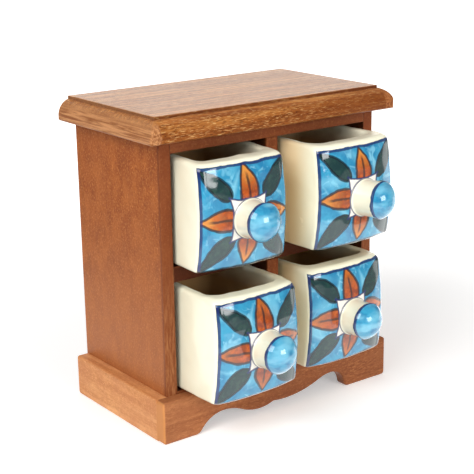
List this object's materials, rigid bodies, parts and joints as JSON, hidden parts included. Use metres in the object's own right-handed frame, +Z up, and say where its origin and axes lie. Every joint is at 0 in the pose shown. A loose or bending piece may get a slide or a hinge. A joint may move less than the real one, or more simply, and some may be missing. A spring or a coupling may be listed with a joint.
{
  "type": "jewelry drawer box",
  "caption": "Small wooden chest with a moulded top and scalloped plinth, holding open-topped glazed ceramic drawers with painted pillowed fronts and round knobs.",
  "frame": {"origin": "on the ground in the middle of the chest width, halfway between the back edge of the top and the tip of the foremost knob as the drawers stand at rest", "axes": "+Z up from the plinth to the top, -Y out of the front where the drawers open, +X to the right of someone facing the drawers"},
  "size_m": [0.1551, 0.1297, 0.165],
  "materials": {
    "stained_wood": "satin",
    "glazed_ceramic": "gloss",
    "steel_fasteners": "satin"
  },
  "bodies": {
    "carcass": {"top_board": "stained_wood", "side_panel_left": "stained_wood", "side_panel_right": "stained_wood", "top_rail_board": "stained_wood", "middle_shelf": "stained_wood", "centre_divider": "stained_wood", "bottom_board": "stained_wood", "apron_front": "stained_wood", "plinth_left": "stained_wood", "plinth_right": "stained_wood", "back_panel": "stained_wood", "carcass_brads": "steel_fasteners", "plinth_brads": "steel_fasteners", "back_panel_pins": "steel_fasteners", "top_screws": "steel_fasteners"},
    "upper_left_drawer": {"drawer_upper_left": "glazed_ceramic", "knob_upper_left": "glazed_ceramic"},
    "upper_right_drawer": {"drawer_upper_right": "glazed_ceramic", "knob_upper_right": "glazed_ceramic"},
    "lower_left_drawer": {"drawer_lower_left": "glazed_ceramic", "knob_lower_left": "glazed_ceramic"},
    "lower_right_drawer": {"drawer_lower_right": "glazed_ceramic", "knob_lower_right": "glazed_ceramic"}
  },
  "joints": [
    {"name": "upper_left_drawer_slide", "type": "slide", "parent": "carcass", "child": "upper_left_drawer", "axis": [0, -1, 0], "range_m": [-0.0182, 0.0388]},
    {"name": "upper_right_drawer_slide", "type": "slide", "parent": "carcass", "child": "upper_right_drawer", "axis": [0, -1, 0], "range_m": [-0.0233, 0.0337]},
    {"name": "lower_left_drawer_slide", "type": "slide", "parent": "carcass", "child": "lower_left_drawer", "axis": [0, -1, 0], "range_m": [-0.0267, 0.0303]},
    {"name": "lower_right_drawer_slide", "type": "slide", "parent": "carcass", "child": "lower_right_drawer", "axis": [0, -1, 0], "range_m": [-0.0182, 0.0388]}
  ]
}
